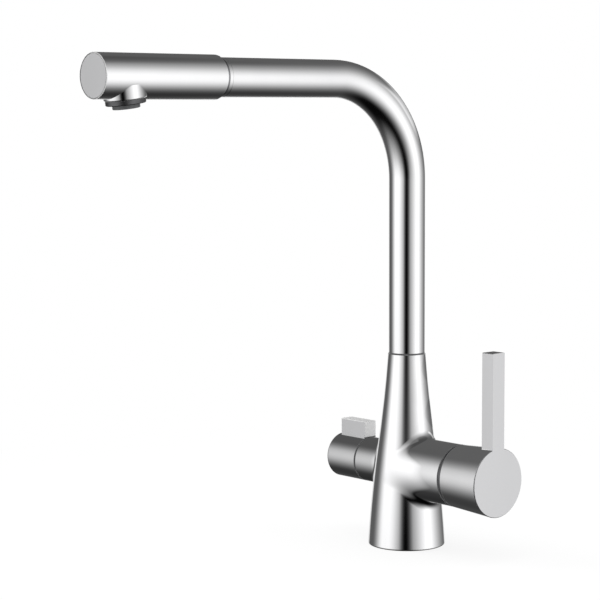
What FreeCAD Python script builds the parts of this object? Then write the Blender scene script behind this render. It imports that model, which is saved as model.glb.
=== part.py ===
import FreeCAD, Part
import math
import os

import Sketcher

# Pull-out kitchen mixer tap with a side lever for hot and cold water and a small quarter-turn
# knob for filtered water. Millimetres. The origin is the centre of the base's underside, +Z is
# up, the spout points along -Y, the mixing lever along +X and the filter knob along -X.

doc = FreeCAD.newDocument("MixerTap")
sheet = doc.addObject("Spreadsheet::Sheet", "Sizes")
X_AXIS = FreeCAD.Vector(1, 0, 0)
Z_AXIS = FreeCAD.Vector(0, 0, 1)


# A size is a number together with the formula that gives it from the sheet's cells.
class Size:
    def __init__(self, value, formula):
        self.value = value
        self.formula = formula

    def join(self, other, sign, value, swap=False):
        text = other.formula if isinstance(other, Size) else repr(other)
        pair = (text, self.formula) if swap else (self.formula, text)
        return Size(value, f"({pair[0]} {sign} {pair[1]})")

    def __add__(self, other):
        return self.join(other, "+", self.value + number(other))

    def __radd__(self, other):
        return self.join(other, "+", number(other) + self.value, True)

    def __sub__(self, other):
        return self.join(other, "-", self.value - number(other))

    def __rsub__(self, other):
        return self.join(other, "-", number(other) - self.value, True)

    def __mul__(self, other):
        return self.join(other, "*", self.value * number(other))

    def __rmul__(self, other):
        return self.join(other, "*", number(other) * self.value, True)

    def __truediv__(self, other):
        return self.join(other, "/", self.value / number(other))

    def __neg__(self):
        return Size(-self.value, f"(0 - {self.formula})")


def number(value):
    return value.value if isinstance(value, Size) else float(value)


# The leg of a right triangle: how far along the axis a sphere's surface lies at a given radius.
def leg(long_side, short_side):
    value = math.sqrt(number(long_side) ** 2 - number(short_side) ** 2)
    return Size(value, f"sqrt({long_side.formula} ^ 2 - {short_side.formula} ^ 2)")


def cell(alias, value, note):
    row = cell.row
    sheet.set(f"A{row}", note)
    sheet.set(f"B{row}", str(value))
    sheet.setAlias(f"B{row}", alias)
    cell.row += 1
    return Size(float(value), f"Sizes.{alias}")


cell.row = 1

# Clearances
slip = cell("slipClearance", 0.05, "radial clearance of a part that turns in a bore")
seat = cell("seatClearance", 0.1, "radial clearance of a part that is pushed or screwed home")
free = cell("freeClearance", 0.3, "clearance between parts that pass each other")

# Body casting
base_d = cell("baseDiameter", 53.7, "diameter of the body's foot")
base_edge = cell("baseEdge", 1.2, "edge radius of the foot")
waist_z = cell("waistHeight", 69, "height where the outline turns from convex to concave")
waist_d = cell("waistDiameter", 40.2, "body diameter at that height")
lower_sweep = cell("lowerSweep", 890, "radius of the convex lower outline")
upper_sweep = cell("upperSweep", 980, "radius of the concave upper outline")
body_z = cell("bodyHeight", 134.2, "height of the body's top face")
neck_d = cell("neckDiameter", 26, "body diameter under the spout")
handle_z = cell("handleHeight", 54.8, "height of the lever and knob axis")
boss_d = cell("bossDiameter", 42.6, "diameter of the mixing side boss")
boss_room = cell("bossRoom", 0.64, "body beyond the mixing boss, beside the lever's axis")
boss_x = cell("bossReach", 50.8, "end face of the mixing side boss from the tap's axis")
boss_blend = cell("bossBlend", 7, "blend radius between the mixing boss and the body")
knob_boss_d = cell("knobBossDiameter", 31.4, "diameter of the filter side boss")
knob_boss_x = cell("knobBossReach", 36.3, "end face of the filter side boss")
knob_blend = cell("knobBlend", 4, "blend radius between the filter boss and the body")
edge_break = cell("edgeBreak", 0.4, "small broken edge on machined rims")
shank_d = cell("shankDiameter", 33, "threaded shank that screws in from below")
shank_depth = cell("shankDepth", 12, "depth of the shank's socket")
inlet_pcd = cell("inletPitchCircle", 22.8, "circle of the four hose inlets")
inlet_d = cell("inletDiameter", 9, "hose inlet bore")
inlet_depth = cell("inletDepth", 14, "depth of a hose inlet")
gasket_d = cell("gasketDiameter", 46.4, "outer diameter of the base gasket")
gasket_width = cell("gasketWidth", 3, "width of the base gasket")
gasket_depth = cell("gasketDepth", 1.5, "depth of the gasket's groove")

# Hose and spout
hose_d = cell("hoseDiameter", 11, "outside diameter of the pull-out hose")
tube_d = cell("tubeDiameter", 25, "outside diameter of the spout tube")
tube_wall = cell("tubeWall", 1.5, "wall of the spout tube")
spout_z = cell("spoutHeight", 322.5, "height of the spout's straight run")
bend_r = cell("bendRadius", 68, "centre line radius of the spout's bend")
tube_y = cell("tubeReach", 163.5, "front end of the spout tube from the tap's axis")
ring_gap = cell("slipRingThickness", 0.7, "thickness of the slip ring under the spout")
sleeve_d = cell("sleeveDiameter", 20.5, "outside diameter of the swivel sleeve")
sleeve_bore = cell("sleeveBore", 14.4, "bore of the swivel sleeve")
sleeve_depth = cell("sleeveDepth", 37, "length of the sleeve inside the body")
sleeve_top = cell("sleeveTop", 30, "length of the sleeve inside the tube")
seal_low = cell("lowerSealInset", 6, "lower swivel seal above the sleeve's end")
seal_high = cell("upperSealInset", 9, "upper swivel seal below the body's top face")
seal_wire = cell("sealThickness", 1.8, "section of the swivel seals")
swing = cell("spoutSwing", 70, "swing of the spout to each side in degrees")
screw_d = cell("setScrewDiameter", 4, "set screws of the spout and the knob")
screw_drop = cell("setScrewDrop", 21, "set screw below the body's top face")

# Pull-out head
head_y = cell("headReach", 168, "rear face of the head from the tap's axis")
head_l = cell("headLength", 93.5, "length of the head")
head_d = cell("headDiameter", 28.2, "outside diameter of the head")
head_wall = cell("headWall", 1.6, "wall of the head's shell")
head_edge = cell("headEdge", 1.6, "edge radius at the head's rear")
cap_t = cell("capThickness", 3.2, "thickness of the head's end cap")
rear_wall = cell("rearWall", 3.2, "rear wall of the head's shell")
collar_l = cell("collarLength", 4.2, "visible length of the docking collar")
dock_depth = cell("dockDepth", 13.5, "length of the docking collar inside the tube")
nose_d = cell("noseDiameter", 15.8, "diameter of the nose that docks in the collar")
nose_l = cell("noseLength", 11, "length of the nose behind the head")
socket_l = cell("hoseSocket", 19.7, "length of the hose's socket in the head")
nozzle_back = cell("nozzleBack", 21.5, "nozzle behind the head's end face")
nozzle_tilt = cell("nozzleTilt", 8, "lean of the nozzle towards the body in degrees")
nozzle_d = cell("nozzleDiameter", 26.4, "outside diameter of the nozzle collar")
nozzle_recess = cell("nozzleRecess", 8.9, "depth of the nozzle's seat inside the head's outline")
nozzle_drop = cell("nozzleDrop", 14, "lower edge of the nozzle collar below the head's axis")
aerator_d = cell("aeratorDiameter", 24.8, "outside diameter of the aerator's ring")
aerator_l = cell("aeratorLength", 3, "length of the aerator's ring below the collar")
insert_d = cell("insertDiameter", 17, "diameter of the aerator's insert")
insert_drop = cell("insertDrop", 2.6, "insert below the aerator's ring")
jet_d = cell("jetDiameter", 1.8, "holes of the aerator's insert")

# Mixing cartridge, measured along the lever's axis
floor_x = cell("cartridgeFloor", 16, "floor of the cartridge's bore")
cart_d = cell("cartridgeDiameter", 34.8, "outside diameter of the cartridge")
cart_base_t = cell("cartridgeBase", 3.8, "thickness of the cartridge's base")
port_d = cell("portDiameter", 5.6, "water ports of the cartridge")
port_pcd = cell("portCircle", 15, "circle of the water ports")
disc_t = cell("discThickness", 3.2, "thickness of a mixing disc")
disc_d = cell("discDiameter", 29.6, "diameter of the fixed mixing disc")
moving_d = cell("movingDiscDiameter", 20.4, "diameter of the moving mixing disc")
plate_t = cell("drivePlate", 4.6, "thickness of the drive plate")
pivot_back = cell("pivotBack", 12.7, "lever's pivot behind the boss's end face")
tilt = cell("leverTilt", 20, "opening tilt of the lever in degrees")
arm = cell("stemArm", 9, "stem's ball from the pivot")
ball_d = cell("ballDiameter", 4.8, "ball at the stem's inner end")
pin_d = cell("pinDiameter", 3, "pivot pin of the stem")
block_l = cell("blockLength", 5.7, "reach of the stem's block from the pivot")
flange_t = cell("carrierFlange", 5, "carrier's flange behind the nut's seat")
stem_w = cell("stemWidth", 7, "square section of the stem")
carrier_d = cell("carrierDiameter", 24.4, "diameter of the stem's carrier")
nut_back = cell("nutBack", 1.7, "nut's seat behind the pivot")
nut_l = cell("nutLength", 8.6, "length of the cartridge nut")
nut_d = cell("nutDiameter", 36.8, "outside diameter of the cartridge nut")
dome_r = cell("domeRadius", 25.3, "radius of the dome about the pivot")
dome_t = cell("domeThickness", 1.7, "wall of the dome")
dome_step = cell("domeStep", 0.7, "dome's foot inside the boss's outline")
dome_hole = cell("domeHole", 28, "hole in the dome for the stem")

# Mixing lever
disc_x = cell("leverFace", 86.6, "flat face of the lever from the tap's axis")
lever_d = cell("leverDiameter", 46.6, "diameter of the lever's face")
rim_d = cell("leverRimDiameter", 42.9, "diameter of the lever's rear rim")
rim_land = cell("leverRimLand", 0.5, "flat land on the lever's rear rim")
bar_w = cell("barWidth", 11.2, "width of the lever's bar")
bar_t = cell("barThickness", 9.8, "thickness of the lever's bar")
bar_z = cell("barHeight", 87, "top of the lever's bar above its axis")
bar_edge = cell("barEdge", 0.6, "edge radius of the lever's bar")
lever_screw_d = cell("leverScrewDiameter", 5, "set screw of the lever")
lever_screw_x = cell("leverScrewReach", 71, "set screw of the lever from the tap's axis")
plug_d = cell("plugDiameter", 6, "plug over the lever's set screw")

# Filter side, measured along the knob's axis
valve_x = cell("valveFloor", 16, "floor of the filter valve's bore")
valve_d = cell("valveDiameter", 19, "bore of the filter valve")
hex_d = cell("hexWidth", 20, "width across flats of the filter valve")
knob_end = cell("knobReach", 65.9, "end face of the filter knob")
knob_edge = cell("knobEdge", 1.6, "edge radius of the filter knob")
tab_w = cell("tabWidth", 10.4, "width of the knob's tab")
tab_l = cell("tabLength", 24.4, "length of the knob's tab")
tab_z = cell("tabHeight", 27, "top of the knob's tab above its axis")
spindle_d = cell("spindleDiameter", 6, "spindle of the filter valve")
small_disc_d = cell("filterDiscDiameter", 12, "discs of the filter valve")
small_disc_t = cell("filterDiscThickness", 2.2, "thickness of a filter valve's disc")

# Sizes that follow from the ones above
neck_r = neck_d / 2
tube_r = tube_d / 2
tube_bore = tube_r - tube_wall
hose_r = hose_d / 2
passage_r = hose_r + free
sleeve_r = sleeve_d / 2
pivot_x = boss_x - pivot_back
tube_foot = body_z + ring_gap + slip
head_r = head_d / 2
head_end = head_y + head_l
nozzle_y = head_end - nozzle_back
nozzle_seat = head_r - nozzle_recess
cart_x = floor_x + free
fixed_x = cart_x + cart_base_t
moving_x = fixed_x + disc_t + slip
plate_x = moving_x + disc_t
ball_x = pivot_x - arm
block_x = pivot_x - block_l
port_across = port_pcd * 0.43301
port_up = port_pcd / 4
knob_start = knob_boss_x + free + 0.2


def bind(obj, prop, value):
    if isinstance(value, Size):
        obj.setExpression(prop, value.formula)
    else:
        obj.setExpression(prop, repr(float(value)))


# Each sub-part is a body. Along says which way its own X axis points: the lever's axis, the
# knob's axis or the spout; upright parts keep the tap's axes. A nozzle part stands on the
# leaning nozzle axis, with the water leaving along its -Z.
TURN = {"upright": 0, "lever": 0, "knob": 180, "spout": -90}
HEIGHT = {"upright": 0, "lever": handle_z, "knob": handle_z, "spout": spout_z}
parts = {}


def new_body(name, along="upright"):
    body = doc.addObject("PartDesign::Body", name)
    body.Label = name
    body.AllowCompound = True
    parts[name] = body
    if along == "nozzle":
        body.Placement = FreeCAD.Placement(
            FreeCAD.Vector(0, -number(nozzle_y), number(spout_z)),
            FreeCAD.Rotation(X_AXIS, number(nozzle_tilt)))
        bind(body, "Placement.Base.y", -nozzle_y)
        bind(body, "Placement.Base.z", spout_z)
        bind(body, "Placement.Rotation.Angle", nozzle_tilt)
        return body
    body.Placement = FreeCAD.Placement(FreeCAD.Vector(0, 0, number(HEIGHT[along])),
                                       FreeCAD.Rotation(Z_AXIS, TURN[along]))
    if isinstance(HEIGHT[along], Size):
        bind(body, "Placement.Base.z", HEIGHT[along])
    return body


# A sketch on one of the body's own planes, moved along the plane by across and up, off it by
# out, and leaned clockwise in the plane.
def new_sketch(body, plane, across=0, up=0, out=0, lean=0):
    role = {"top": "XY_Plane", "front": "XZ_Plane", "side": "YZ_Plane"}[plane]
    origin = next(o for o in body.Origin.OriginFeatures if o.Role == role)
    sketch = body.newObject("Sketcher::SketchObject", f"{body.Name}_sketch")
    sketch.AttachmentSupport = [(origin, "")]
    sketch.MapMode = "FlatFace"
    sketch.AttachmentOffset = FreeCAD.Placement(
        FreeCAD.Vector(number(across), number(up), number(out)),
        FreeCAD.Rotation(-Z_AXIS, number(lean)))
    for prop, value in (("x", across), ("y", up), ("z", out)):
        if isinstance(value, Size):
            bind(sketch, f"AttachmentOffset.Base.{prop}", value)
    if isinstance(lean, Size):
        bind(sketch, "AttachmentOffset.Rotation.Angle", lean)
    return sketch


def hold(sketch, kind, geometry, point, value):
    if abs(number(value)) < 1e-9 and not isinstance(value, Size):
        axis = -2 if kind == "DistanceX" else -1
        sketch.addConstraint(Sketcher.Constraint("PointOnObject", geometry, point, axis))
        return
    index = sketch.addConstraint(
        Sketcher.Constraint(kind, -1, 1, geometry, point, number(value)))
    bind(sketch, f"Constraints[{index}]", value)


# A closed outline through corners (x, y) or (x, y, radius). A radius makes the side that leaves
# the corner an arc: positive curves to the left of the way round, negative to the right.
def outline(sketch, corners):
    ends = []
    count = len(corners)
    for i, corner in enumerate(corners):
        a = FreeCAD.Vector(number(corner[0]), number(corner[1]), 0)
        after = corners[(i + 1) % count]
        b = FreeCAD.Vector(number(after[0]), number(after[1]), 0)
        if len(corner) == 2:
            ends.append((sketch.addGeometry(Part.LineSegment(a, b)), 1, 2))
            continue
        radius = number(corner[2])
        chord = b - a
        left = FreeCAD.Vector(-chord.y, chord.x, 0).normalize()
        rise = math.sqrt(radius ** 2 - (chord.Length / 2) ** 2)
        centre = (a + b) * 0.5 + left * math.copysign(rise, radius)
        bow = left * -math.copysign(abs(radius) - rise, radius)
        arc = Part.Arc(a, (a + b) * 0.5 + bow, b)
        circle = Part.Circle(centre, Z_AXIS, abs(radius))
        first, last = (a, b) if radius > 0 else (b, a)
        arc = Part.ArcOfCircle(circle, circle.parameter(first), circle.parameter(last))
        index = sketch.addGeometry(arc)
        ends.append((index, 1, 2) if radius > 0 else (index, 2, 1))
    for i, corner in enumerate(corners):
        here, there = ends[i], ends[(i + 1) % count]
        sketch.addConstraint(Sketcher.Constraint("Coincident", here[0], here[2], there[0], there[1]))
        hold(sketch, "DistanceX", here[0], here[1], corner[0])
        hold(sketch, "DistanceY", here[0], here[1], corner[1])
        if len(corner) == 3:
            size = corner[2] if number(corner[2]) > 0 else -corner[2]
            index = sketch.addConstraint(Sketcher.Constraint("Radius", here[0], number(size)))
            bind(sketch, f"Constraints[{index}]", size)


def circle(sketch, x, y, radius):
    index = sketch.addGeometry(
        Part.Circle(FreeCAD.Vector(number(x), number(y), 0), Z_AXIS, number(radius)))
    hold(sketch, "DistanceX", index, 3, x)
    hold(sketch, "DistanceY", index, 3, y)
    last = sketch.addConstraint(Sketcher.Constraint("Radius", index, number(radius)))
    bind(sketch, f"Constraints[{last}]", radius)


def box_corners(x_low, x_high, y_low, y_high):
    return [(x_low, y_low), (x_high, y_low), (x_high, y_high), (x_low, y_high)]


def feature(body, kind, sketch, name):
    made = body.newObject(f"PartDesign::{kind}", f"{body.Name}_{name}")
    made.Profile = sketch
    sketch.Visibility = False
    return made


# Turned material or a turned cut about the sketch's own horizontal or vertical axis.
def turn(body, sketch, axis, cut=False, angle=None, name="turned"):
    made = feature(body, "Groove" if cut else "Revolution", sketch, name)
    made.ReferenceAxis = (sketch, ["H_Axis" if axis == "along" else "V_Axis"])
    made.Angle = 360
    if angle is not None:
        made.Midplane = True
        bind(made, "Angle", angle)
    return made


def pad(body, sketch, length, name="pad", both=False):
    made = feature(body, "Pad", sketch, name)
    made.Midplane = both
    bind(made, "Length", length)
    return made


def cut(body, sketch, length, name="cut", both=False, back=False):
    made = feature(body, "Pocket", sketch, name)
    made.Midplane = both
    made.Reversed = back
    bind(made, "Length", length)
    return made


# A piece turned about its own axis from one outline.
def turned_part(name, corners, along="upright"):
    body = new_body(name, along)
    sketch = new_sketch(body, "front")
    outline(sketch, corners)
    turn(body, sketch, "up" if along in ("upright", "nozzle") else "along")
    return body


# A plain ring or disc between two stations of an axis.
def ring(name, near, far, outer, inner=0, along="lever"):
    if along in ("upright", "nozzle"):
        return turned_part(name, box_corners(inner, outer, near, far), along)
    return turned_part(name, box_corners(near, far, inner, outer), along)


def groove_into(body, plane, axis, corners, across=0, up=0, lean=0, angle=None, name="bore"):
    sketch = new_sketch(body, plane, across, up, 0, lean)
    outline(sketch, corners)
    return turn(body, sketch, axis, True, angle, name)


def pattern(body, source, axis, count, name="pattern"):
    made = body.newObject("PartDesign::PolarPattern", f"{body.Name}_{name}")
    made.Originals = [source]
    role = {"X": "X_Axis", "Y": "Y_Axis", "Z": "Z_Axis"}[axis]
    made.Axis = (next(o for o in body.Origin.OriginFeatures if o.Role == role), [""])
    made.Angle = 360
    made.Occurrences = count
    body.Tip = made
    return made


# A round hole through a plane of the body, square to it.
def drill(body, plane, spots, radius, length, out=0, both=False, back=False, name="hole"):
    sketch = new_sketch(body, plane, out=out)
    for x, y in spots:
        circle(sketch, x, y, radius)
    return cut(body, sketch, length, name, both, back)


# The end view of a bar or tab whose two top edges are rounded.
def bar_outline(half, low, high, edge):
    return [(-half, low), (half, low), (half, high - edge, edge), (half - edge, high),
            (-half + edge, high, edge), (-half, high - edge)]


def hexagon(sketch, radius):
    outline(sketch, [(radius * math.cos(math.pi * i / 3), radius * math.sin(math.pi * i / 3))
                     for i in range(6)])


# A set screw that runs from near to far against a plane's normal, with its socket at far.
def set_screw(name, along, plane, across, up, near, far, diameter):
    body = new_body(name, along)
    sketch = new_sketch(body, plane, across, up, -near)
    circle(sketch, 0, 0, diameter / 2 - slip)
    pad(body, sketch, far - near).Reversed = True
    sketch = new_sketch(body, plane, across, up, -far)
    hexagon(sketch, diameter * 0.27)
    cut(body, sketch, diameter / 2, "socket", back=True)
    return body


# A sealing ring of round section.
def seal_ring(name, radius, station, wire, along="upright", body=None):
    body = body or new_body(name, along)
    sketch = new_sketch(body, "front")
    if along == "upright":
        circle(sketch, radius, station, wire)
    else:
        circle(sketch, station, radius, wire)
    turn(body, sketch, "up" if along == "upright" else "along")
    return body


# Body casting: a swept foot and neck with a boss on each side, bored for the swivel sleeve, the
# mixing cartridge, the filter valve, the hose and the shank.
def make_body():
    body = new_body("main_body")
    sketch = new_sketch(body, "front")
    base_r = base_d / 2
    outline(sketch, [(0, 0), (base_r - base_edge, 0, base_edge), (base_r, base_edge, lower_sweep),
                     (boss_d / 2 + boss_room, handle_z, lower_sweep),
                     (waist_d / 2, waist_z, -upper_sweep), (neck_r, body_z - edge_break),
                     (neck_r - edge_break, body_z), (0, body_z)])
    turn(body, sketch, "up", name="cone")
    for side, reach, width in ((1, boss_x, boss_d / 2), (-1, knob_boss_x, knob_boss_d / 2)):
        sketch = new_sketch(body, "front", up=handle_z)
        corners = [(2 * side, 0), (reach * side, 0), (reach * side, width - edge_break),
                   ((reach - edge_break) * side, width), (2 * side, width)]
        outline(sketch, corners if side > 0 else corners[::-1])
        turn(body, sketch, "along", name="boss")
    doc.recompute()
    for side, radius in ((1, boss_blend), (-1, knob_blend)):
        blend(body, side, radius)
    # Swivel socket, hose passage and shank socket on the tap's axis
    socket_r = sleeve_r + slip
    socket_floor = body_z - sleeve_depth - free
    groove_into(body, "front", "up", box_corners(0, socket_r, socket_floor, body_z + 1), name="swivel")
    groove_into(body, "front", "up", box_corners(0, passage_r, -1, socket_floor + 1), name="passage")
    groove_into(body, "front", "up", box_corners(0, shank_d / 2, -1, shank_depth), name="shank")
    gasket_r = gasket_d / 2
    groove_into(body, "front", "up",
                box_corners(gasket_r - gasket_width - seat, gasket_r + seat, -1, gasket_depth),
                name="gasket")
    # Cartridge bore with the nut's thread, and the filter valve's bore with room for its hexagon
    bore_r = cart_d / 2 + free
    nut_r = nut_d / 2 + seat
    nut_x = nut_seat()
    groove_into(body, "front", "along", [(floor_x, 0), (boss_x + 1, 0), (boss_x + 1, nut_r),
                                         (nut_x, nut_r), (nut_x, bore_r), (floor_x, bore_r)],
                up=handle_z, name="cartridge")
    valve_r = valve_d / 2
    hex_r = hex_d * 0.5774 + free
    hex_x = hex_seat()
    corners = [(-valve_x, 0), (-valve_x, valve_r), (-hex_x, valve_r), (-hex_x, hex_r),
               (-(knob_boss_x + 1), hex_r), (-(knob_boss_x + 1), 0)]
    groove_into(body, "front", "along", corners, up=handle_z, name="valve")
    # Hose inlets in the ceiling of the shank's socket, with the waterways that lead up from them
    ring_r = inlet_pcd / 2
    side = inlet_pcd * 0.43301
    supplies = [(ring_r / 2, side), (ring_r / 2, -side)]
    drill(body, "top", [(ring_r, 0), (-ring_r, 0)] + supplies, inlet_d / 2, inlet_depth,
          shank_depth, back=True, name="inlets")
    way_z = shank_depth + inlet_depth - 1
    way_r = port_d / 2
    supply_z = handle_z + port_up
    drill(body, "top", supplies, way_r, supply_z - way_z, way_z, back=True, name="supply_ways")
    drill(body, "side", [(port_across, supply_z), (-port_across, supply_z)], way_r, floor_x - 5.5,
          floor_x + 1, name="supply_ports")
    mixed_z = handle_z - port_pcd / 2
    drill(body, "top", [(ring_r, 0)], way_r, mixed_z - way_z, way_z, back=True, name="mixed_way")
    drill(body, "side", [(0, mixed_z)], way_r, floor_x - ring_r, floor_x + 1, name="mixed_port")
    drill(body, "top", [(-ring_r, 0)], way_r, handle_z - way_z, way_z, back=True,
          name="filter_way")
    drill(body, "side", [(0, handle_z)], way_r, valve_x - ring_r, -(valve_x + 1), back=True,
          name="filter_port")
    # Tapped hole for the spout's set screw, at the back
    drill(body, "front", [(0, body_z - screw_drop)], screw_d / 2, neck_d, name="screw_hole")


# Where the nut bears on the cartridge, and where the filter valve's hexagon bears on the body.
def nut_seat():
    return pivot_x - nut_back


def hex_seat():
    return knob_boss_x - 6.2


# Blend along the curve where a boss meets the body.
def blend(body, side, radius):
    tip = body.Tip
    edges = []
    for index, edge in enumerate(tip.Shape.Edges, 1):
        box = edge.BoundBox
        curved = edge.Curve.TypeId not in ("Part::GeomCircle", "Part::GeomLine")
        if curved and box.Center.x * side > 0 and box.ZLength > 5:
            edges.append(f"Edge{index}")
    made = body.newObject("PartDesign::Fillet", f"{body.Name}_blend")
    made.Base = (tip, edges)
    bind(made, "Radius", radius)
    doc.recompute()
    return made


# Levels of the two swivel seals, from the tap's foot.
def seal_levels():
    return body_z - sleeve_depth + seal_low, body_z - seal_high


def make_foot_and_swivel():
    gasket_r = gasket_d / 2
    ring("base_gasket", 0, gasket_depth - seat, gasket_r, gasket_r - gasket_width, "upright")
    ring("slip_ring", body_z, body_z + ring_gap, tube_r - free, sleeve_r + seat, "upright")
    # Sleeve that turns in the body: seal grooves, and a slot that stops the swing at a set screw
    foot = body_z - sleeve_depth
    top = tube_foot + sleeve_top
    bore = sleeve_bore / 2
    upper_r = tube_bore - slip
    sleeve = turned_part("swivel_sleeve", [
        (bore, foot), (sleeve_r - edge_break, foot), (sleeve_r, foot + edge_break),
        (sleeve_r, tube_foot), (upper_r, tube_foot), (upper_r, top - edge_break),
        (upper_r - edge_break, top), (bore, top)])
    wire = seal_wire / 2
    seal_r = sleeve_r - wire
    for z in seal_levels():
        groove_into(sleeve, "front", "up", box_corners(
            seal_r - wire - slip, sleeve_r + 1, z - wire - seat, z + wire + seat), name="groove")
    stop_r = sleeve_r - 1.2
    screw_z = body_z - screw_drop
    groove_into(sleeve, "side", "up", box_corners(
        stop_r, sleeve_r + 1, screw_z - screw_d / 2 - seat, screw_z + screw_d / 2 + seat),
        angle=swing * 2 + 28, name="stop_slot")
    low, high = seal_levels()
    seals = seal_ring("swivel_seals", seal_r, low, wire)
    seal_ring("swivel_seals", seal_r, high, wire, body=seals)
    set_screw("spout_set_screw", "upright", "front", 0, screw_z, stop_r + seat, neck_r + 1.4,
              screw_d)


# A tube swept along the spout's centre line, from a foot height round the bend to a reach.
def swept_tube(name, foot, reach, outer, inner):
    body = new_body(name, "spout")
    low = foot - spout_z
    path = new_sketch(body, "front")
    rise = Part.LineSegment(FreeCAD.Vector(0, number(low), 0), FreeCAD.Vector(0, -number(bend_r), 0))
    centre = FreeCAD.Vector(number(bend_r), -number(bend_r), 0)
    bend = Part.ArcOfCircle(Part.Circle(centre, Z_AXIS, number(bend_r)), math.pi / 2, math.pi)
    run = Part.LineSegment(FreeCAD.Vector(number(bend_r), 0, 0), FreeCAD.Vector(number(reach), 0, 0))
    for piece in (rise, bend, run):
        path.addGeometry(piece)
    path.addConstraint(Sketcher.Constraint("Tangent", 0, 2, 1, 2))
    path.addConstraint(Sketcher.Constraint("Tangent", 1, 1, 2, 1))
    hold(path, "DistanceX", 0, 1, 0)
    hold(path, "DistanceY", 0, 1, low)
    hold(path, "DistanceX", 2, 2, reach)
    hold(path, "DistanceY", 2, 2, 0)
    path.addConstraint(Sketcher.Constraint("Vertical", 0))
    path.addConstraint(Sketcher.Constraint("Horizontal", 2))
    index = path.addConstraint(Sketcher.Constraint("Radius", 1, number(bend_r)))
    bind(path, f"Constraints[{index}]", bend_r)
    section = new_sketch(body, "top", out=low)
    circle(section, 0, 0, outer)
    circle(section, 0, 0, inner)
    pipe = feature(body, "AdditivePipe", section, "sweep")
    pipe.Spine = (path, ["Edge1", "Edge2", "Edge3"])
    path.Visibility = False
    return body


def make_spout():
    swept_tube("spout_tube", tube_foot, tube_y, tube_r, tube_bore)
    # Collar at the spout's end with a tapered mouth for the head's nose
    bore = nose_d / 2 + free
    front = tube_y + collar_l
    back = tube_y - dock_depth
    plug_r = tube_bore - slip
    turned_part("dock_collar", [
        (back, bore + 1), (back + 2, bore), (front - 3.5, bore), (front, bore + 1.6),
        (front, tube_r - edge_break), (front - edge_break, tube_r), (tube_y + edge_break, tube_r),
        (tube_y, tube_r - edge_break), (tube_y, plug_r), (back, plug_r)], "spout")
    ring("hose_guide", back + 2, back + 7, bore - seat, passage_r, "spout")
    swept_tube("hose_run", shank_depth + free, bend_r + 4, hose_r, hose_r * 0.62)


def make_head():
    inner = head_r - head_wall
    cap_x = head_end - cap_t - free
    cap_r = head_r - 0.75
    throat = nose_d / 2 + 1.3
    wall_x = head_y + rear_wall
    shell = turned_part("head_shell", [
        (head_y, throat), (wall_x, throat), (wall_x, inner), (cap_x, inner), (cap_x, cap_r),
        (head_end, cap_r), (head_end, head_r - edge_break), (head_end - edge_break, head_r),
        (head_y + head_edge, head_r, head_edge), (head_y, head_r - head_edge)], "spout")
    groove_into(shell, "front", "up",
                box_corners(0, nozzle_d / 2 + slip, -(head_r + 6), -nozzle_seat),
                across=nozzle_y, lean=nozzle_tilt, name="nozzle_bore")
    ring("head_end_cap", cap_x, cap_x + cap_t, cap_r - slip, 0, "spout")
    # Nose that docks in the collar, held by its flange behind the shell's rear wall
    nose_r = nose_d / 2
    hose_way = passage_r + seat
    flange_x = wall_x + seat
    flange_end = flange_x + 2.7
    turned_part("docking_nose", [
        (head_y - nose_l, hose_way), (flange_end, hose_way), (flange_end, inner - seat),
        (flange_x, inner - seat), (flange_x, throat - seat), (head_y, throat - seat),
        (head_y - 0.5, nose_r + 1.1), (head_y - 3.5, nose_r),
        (head_y - nose_l + edge_break, nose_r), (head_y - nose_l, nose_r - edge_break)], "spout")
    # Waterway: socket for the hose, tube, end flange and a leaning spigot over the nozzle
    way_x = flange_end + seat
    socket_r = hose_r + 2.1
    socket_end = way_x + socket_l
    way_r = 4.6
    end_x = cap_x - 1
    way = turned_part("head_waterway", [
        (way_x, socket_r), (socket_end, socket_r), (socket_end, way_r), (end_x - 7, way_r),
        (end_x - 7, 0), (end_x, 0), (end_x, inner - seat), (end_x - 4, inner - seat),
        (end_x - 4, way_r + 1.6), (socket_end + 1.8, way_r + 1.6),
        (socket_end + 1.8, socket_r + 0.9), (way_x + 4, socket_r + 0.9),
        (way_x + 4, inner - seat), (way_x, inner - seat)], "spout")
    spigot = nozzle_seat + 1.2
    sketch = new_sketch(way, "front", across=nozzle_y, lean=nozzle_tilt)
    outline(sketch, box_corners(0, 9.8, -spigot, -1))
    turn(way, sketch, "up", name="spigot")
    groove_into(way, "front", "up", box_corners(0, 6, -(spigot + 1), -1), across=nozzle_y,
                lean=nozzle_tilt, name="outlet")
    room = nozzle_d / 2 + free
    groove_into(way, "front", "up", [
        (0, -head_r), (room, -head_r), (room, -nozzle_seat), (10.2, -nozzle_seat),
        (10.2, -spigot), (0, -spigot)], across=nozzle_y, lean=nozzle_tilt, name="nozzle_room")
    # Hose end, its seal and the non-return valve
    plug_x = way_x + 1.9
    plug_end = socket_end - 1.8
    turned_part("hose_connector", [
        (plug_x, hose_r + slip), (plug_end - 5.7, hose_r + slip), (plug_end - 5.7, 3.6),
        (plug_end, 3.6), (plug_end, socket_r - seat), (plug_x, socket_r - seat)], "spout")
    ring("connector_seal", plug_end, socket_end, socket_r - 0.2, 4.2, "spout")
    valve = ring("check_valve", socket_end + 1.2, socket_end + 11.2, way_r - seat, 2.6, "spout")
    sketch = new_sketch(valve, "side", out=socket_end + 5)
    circle(sketch, 0, 0, 2.8)
    pad(valve, sketch, 2, "poppet")
    ring("hose_front", bend_r + 4.3, plug_end - 6, hose_r, hose_r * 0.62, "spout")


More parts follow.
